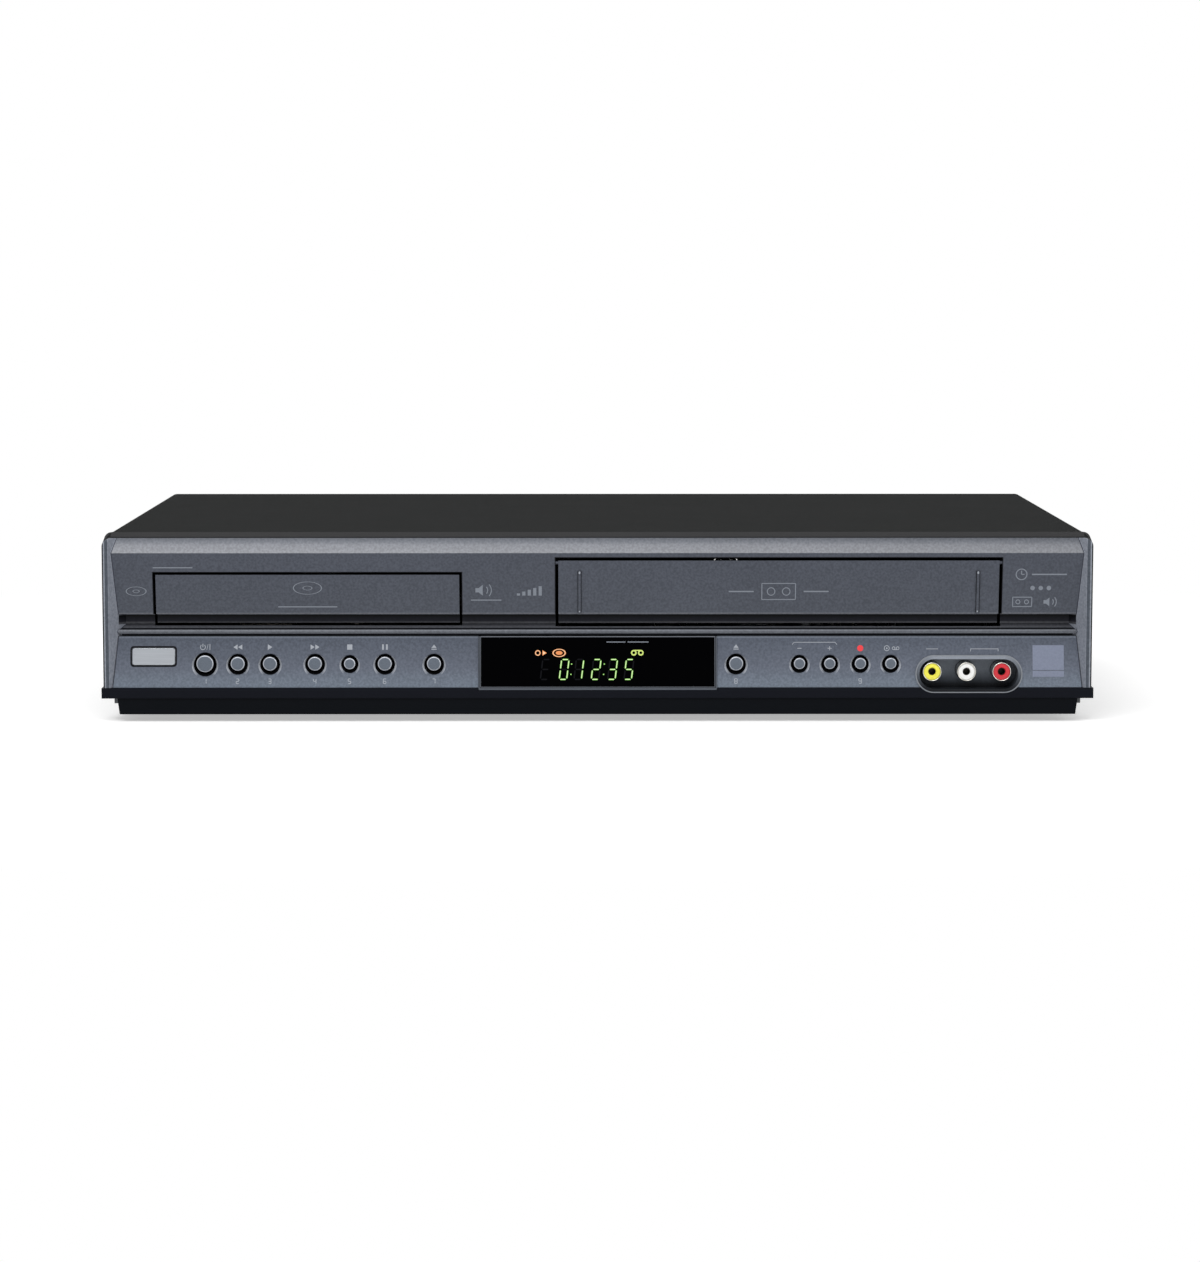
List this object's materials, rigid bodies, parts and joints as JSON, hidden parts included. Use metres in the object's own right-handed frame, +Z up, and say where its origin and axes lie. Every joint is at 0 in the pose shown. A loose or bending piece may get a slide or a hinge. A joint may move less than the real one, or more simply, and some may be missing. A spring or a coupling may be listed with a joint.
{
  "type": "disc and videocassette combination player",
  "caption": "Full-width disc and videocassette player with a sliding disc drawer, a sprung cassette flap, round push buttons, a display window and front and rear phono sockets.",
  "frame": {"origin": "centre of the bounding box's base, on the surface that the feet stand on", "axes": "+X to the right seen from the front, +Y to the rear, +Z up; the front faces -Y"},
  "size_m": [0.437, 0.259, 0.0832],
  "materials": {
    "ac_inlet": "black plastic",
    "bottom_chassis": "zinc-plated sheet",
    "capstan": "ground",
    "carriage_brackets": "zinc-plated sheet",
    "carriage_slider": "zinc-plated sheet",
    "cassette_carriage": "zinc-plated sheet",
    "cassette_flap": "dark silver metallic paint",
    "clamp_bridge": "zinc-plated strip",
    "clamper": "black plastic",
    "control_panel": "dark silver metallic paint",
    "cover_screws": "blackened steel",
    "deck_plate": "zinc-plated sheet",
    "disc_tray": "black plastic",
    "display_bezel": "black",
    "display_window": "smoked acrylic",
    "eject_button": "dark silver metallic paint",
    "fast_forward_button": "dark silver metallic paint",
    "feed_motor": "plated can",
    "feet": "black rubber",
    "front_board": "circuit board with switches and display tube",
    "front_panel": "dark silver metallic paint",
    "front_skirt": "black",
    "front_sockets": "nickel plating with coloured insulators",
    "guide_rods": "ground",
    "jack_bezel": "dark grey plastic",
    "lead_screw": "ground",
    "loader_frame": "black plastic",
    "loading_belt": "rubber",
    "loading_motor": "plated can",
    "loading_pulley": "natural acetal",
    "lower_drum": "machined",
    "main_board": "circuit board",
    "motor_pulley": "natural acetal",
    "open_close_button": "dark silver metallic paint",
    "optical_pickup": "black plastic",
    "pause_button": "dark silver metallic paint",
    "pinch_arm": "plated",
    "pinch_roller": "rubber",
    "play_button": "dark silver metallic paint",
    "power_board": "circuit board",
    "power_button": "dark silver metallic paint",
    "rear_panel": "dark grey paint",
    "rear_sockets": "nickel plating with coloured insulators",
    "record_button": "dark silver metallic paint",
    "rewind_button": "dark silver metallic paint",
    "socket_blocks": "black plastic",
    "source_select_button": "dark silver metallic paint",
    "stop_button": "dark silver metallic paint",
    "supply_reel": "natural acetal",
    "takeup_reel": "natural acetal",
    "tape_guides": "polished",
    "top_cover": "matt black stoved paint",
    "tracking_down_button": "dark silver metallic paint",
    "tracking_up_button": "dark silver metallic paint",
    "traverse_frame": "black plastic",
    "tray_door": "dark silver metallic paint",
    "tray_gear": "natural acetal",
    "turntable": "black plastic",
    "upper_drum": "machined"
  },
  "bodies": {
    "base": {"top_cover": "top_cover", "cover_screws": "cover_screws", "bottom_chassis": "bottom_chassis", "feet": "feet", "rear_panel": "rear_panel", "rear_sockets": "rear_sockets", "socket_blocks": "socket_blocks", "ac_inlet": "ac_inlet", "main_board": "main_board", "power_board": "power_board", "front_panel": "front_panel", "control_panel": "control_panel", "front_skirt": "front_skirt", "display_window": "display_window", "display_bezel": "display_bezel", "front_board": "front_board", "jack_bezel": "jack_bezel", "front_sockets": "front_sockets", "loader_frame": "loader_frame", "loading_belt": "loading_belt", "loading_motor": "loading_motor", "clamp_bridge": "clamp_bridge", "deck_plate": "deck_plate", "carriage_brackets": "carriage_brackets", "lower_drum": "lower_drum", "tape_guides": "tape_guides"},
    "drawer": {"disc_tray": "disc_tray", "tray_door": "tray_door"},
    "tray_gear": {"tray_gear": "tray_gear"},
    "loading_pulley": {"loading_pulley": "loading_pulley"},
    "motor_pulley": {"motor_pulley": "motor_pulley"},
    "traverse": {"traverse_frame": "traverse_frame", "guide_rods": "guide_rods", "feed_motor": "feed_motor"},
    "turntable": {"turntable": "turntable"},
    "pickup": {"optical_pickup": "optical_pickup"},
    "lead_screw": {"lead_screw": "lead_screw"},
    "clamper": {"clamper": "clamper"},
    "carriage_slider": {"carriage_slider": "carriage_slider"},
    "carriage": {"cassette_carriage": "cassette_carriage"},
    "flap": {"cassette_flap": "cassette_flap"},
    "head_drum": {"upper_drum": "upper_drum"},
    "capstan": {"capstan": "capstan"},
    "pinch_arm": {"pinch_arm": "pinch_arm"},
    "pinch_roller": {"pinch_roller": "pinch_roller"},
    "supply_reel": {"supply_reel": "supply_reel"},
    "takeup_reel": {"takeup_reel": "takeup_reel"},
    "power_button": {"power_button": "power_button"},
    "rewind_button": {"rewind_button": "rewind_button"},
    "play_button": {"play_button": "play_button"},
    "fast_forward_button": {"fast_forward_button": "fast_forward_button"},
    "stop_button": {"stop_button": "stop_button"},
    "pause_button": {"pause_button": "pause_button"},
    "open_close_button": {"open_close_button": "open_close_button"},
    "eject_button": {"eject_button": "eject_button"},
    "tracking_down_button": {"tracking_down_button": "tracking_down_button"},
    "tracking_up_button": {"tracking_up_button": "tracking_up_button"},
    "record_button": {"record_button": "record_button"},
    "source_select_button": {"source_select_button": "source_select_button"}
  },
  "joints": [
    {"name": "tray_slide", "type": "slide", "parent": "base", "child": "drawer", "axis": [0, -1, 0], "range_m": [0, 0.142]},
    {"name": "tray_gear_spin", "type": "hinge", "parent": "base", "child": "tray_gear", "pos_m": [-0.16665, -0.0945, 0.0509], "axis": [0, 0, 1], "range_deg": [0, 730]},
    {"name": "loading_pulley_spin", "type": "hinge", "parent": "base", "child": "loading_pulley", "pos_m": [-0.1479, -0.0945, 0.0438], "axis": [0, 0, 1], "range_deg": [-1090, 0]},
    {"name": "motor_pulley_spin", "type": "hinge", "parent": "base", "child": "motor_pulley", "pos_m": [-0.1079, -0.0945, 0.0438], "axis": [0, 0, 1], "range_deg": [-3785, 0]},
    {"name": "traverse_tilt", "type": "hinge", "parent": "base", "child": "traverse", "pos_m": [-0.12765, 0.0385, 0.038], "axis": [1, 0, 0], "range_deg": [0, 4]},
    {"name": "turntable_spin", "type": "hinge", "parent": "traverse", "child": "turntable", "pos_m": [-0.12765, -0.0495, 0.0552], "axis": [0, 0, 1], "continuous": true},
    {"name": "clamper_spin", "type": "hinge", "parent": "base", "child": "clamper", "pos_m": [-0.12765, -0.0495, 0.06], "axis": [0, 0, 1], "continuous": true},
    {"name": "pickup_slide", "type": "slide", "parent": "traverse", "child": "pickup", "axis": [0, 1, 0], "range_m": [0, 0.034]},
    {"name": "lead_screw_spin", "type": "hinge", "parent": "traverse", "child": "lead_screw", "pos_m": [-0.09565, -0.0495, 0.045], "axis": [0, 1, 0], "range_deg": [0, 4085]},
    {"name": "flap_hinge", "type": "hinge", "parent": "base", "child": "flap", "pos_m": [0.07965, -0.12645, 0.0702], "axis": [1, 0, 0], "range_deg": [0, 83], "stiffness_Nm_per_rad": 0.01, "springref_deg": -20.05},
    {"name": "carriage_in", "type": "slide", "parent": "base", "child": "carriage_slider", "axis": [0, 1, 0], "range_m": [0, 0.028]},
    {"name": "carriage_down", "type": "slide", "parent": "carriage_slider", "child": "carriage", "axis": [0, 0, -1], "range_m": [0, 0.022]},
    {"name": "drum_spin", "type": "hinge", "parent": "base", "child": "head_drum", "pos_m": [0.07965, 0.0465, 0.02], "axis": [0.0872, 0, 0.9962], "continuous": true},
    {"name": "capstan_spin", "type": "hinge", "parent": "base", "child": "capstan", "pos_m": [0.14165, 0.0125, 0.017], "axis": [0, 0, 1], "continuous": true},
    {"name": "pinch_swing", "type": "hinge", "parent": "base", "child": "pinch_arm", "pos_m": [0.16365, 0.022, 0.017], "axis": [0, 0, 1], "range_deg": [0, 28]},
    {"name": "pinch_roller_spin", "type": "hinge", "parent": "pinch_arm", "child": "pinch_roller", "pos_m": [0.14227, 0.0329, 0.025], "axis": [0, 0, 1], "continuous": true},
    {"name": "supply_reel_spin", "type": "hinge", "parent": "base", "child": "supply_reel", "pos_m": [0.03365, -0.0375, 0.017], "axis": [0, 0, 1], "continuous": true},
    {"name": "takeup_reel_spin", "type": "hinge", "parent": "base", "child": "takeup_reel", "pos_m": [0.12565, -0.0375, 0.017], "axis": [0, 0, 1], "continuous": true},
    {"name": "power_press", "type": "slide", "parent": "base", "child": "power_button", "axis": [0, 1, 0], "range_m": [0, 0.0008], "stiffness_N_per_m": 900},
    {"name": "rewind_press", "type": "slide", "parent": "base", "child": "rewind_button", "axis": [0, 1, 0], "range_m": [0, 0.0008], "stiffness_N_per_m": 900},
    {"name": "play_press", "type": "slide", "parent": "base", "child": "play_button", "axis": [0, 1, 0], "range_m": [0, 0.0008], "stiffness_N_per_m": 900},
    {"name": "fast_forward_press", "type": "slide", "parent": "base", "child": "fast_forward_button", "axis": [0, 1, 0], "range_m": [0, 0.0008], "stiffness_N_per_m": 900},
    {"name": "stop_press", "type": "slide", "parent": "base", "child": "stop_button", "axis": [0, 1, 0], "range_m": [0, 0.0008], "stiffness_N_per_m": 900},
    {"name": "pause_press", "type": "slide", "parent": "base", "child": "pause_button", "axis": [0, 1, 0], "range_m": [0, 0.0008], "stiffness_N_per_m": 900},
    {"name": "open_close_press", "type": "slide", "parent": "base", "child": "open_close_button", "axis": [0, 1, 0], "range_m": [0, 0.0008], "stiffness_N_per_m": 900},
    {"name": "eject_press", "type": "slide", "parent": "base", "child": "eject_button", "axis": [0, 1, 0], "range_m": [0, 0.0008], "stiffness_N_per_m": 900},
    {"name": "tracking_down_press", "type": "slide", "parent": "base", "child": "tracking_down_button", "axis": [0, 1, 0], "range_m": [0, 0.0008], "stiffness_N_per_m": 900},
    {"name": "tracking_up_press", "type": "slide", "parent": "base", "child": "tracking_up_button", "axis": [0, 1, 0], "range_m": [0, 0.0008], "stiffness_N_per_m": 900},
    {"name": "record_press", "type": "slide", "parent": "base", "child": "record_button", "axis": [0, 1, 0], "range_m": [0, 0.0008], "stiffness_N_per_m": 900},
    {"name": "source_select_press", "type": "slide", "parent": "base", "child": "source_select_button", "axis": [0, 1, 0], "range_m": [0, 0.0008], "stiffness_N_per_m": 900}
  ],
  "couplings": [
    {"joint": "tray_gear_spin", "follows": "tray_slide", "rad_per_m": 88.889},
    {"joint": "loading_pulley_spin", "follows": "tray_slide", "rad_per_m": -133.33},
    {"joint": "motor_pulley_spin", "follows": "tray_slide", "rad_per_m": -464.14},
    {"joint": "lead_screw_spin", "follows": "pickup_slide", "rad_per_m": 2094.4}
  ]
}
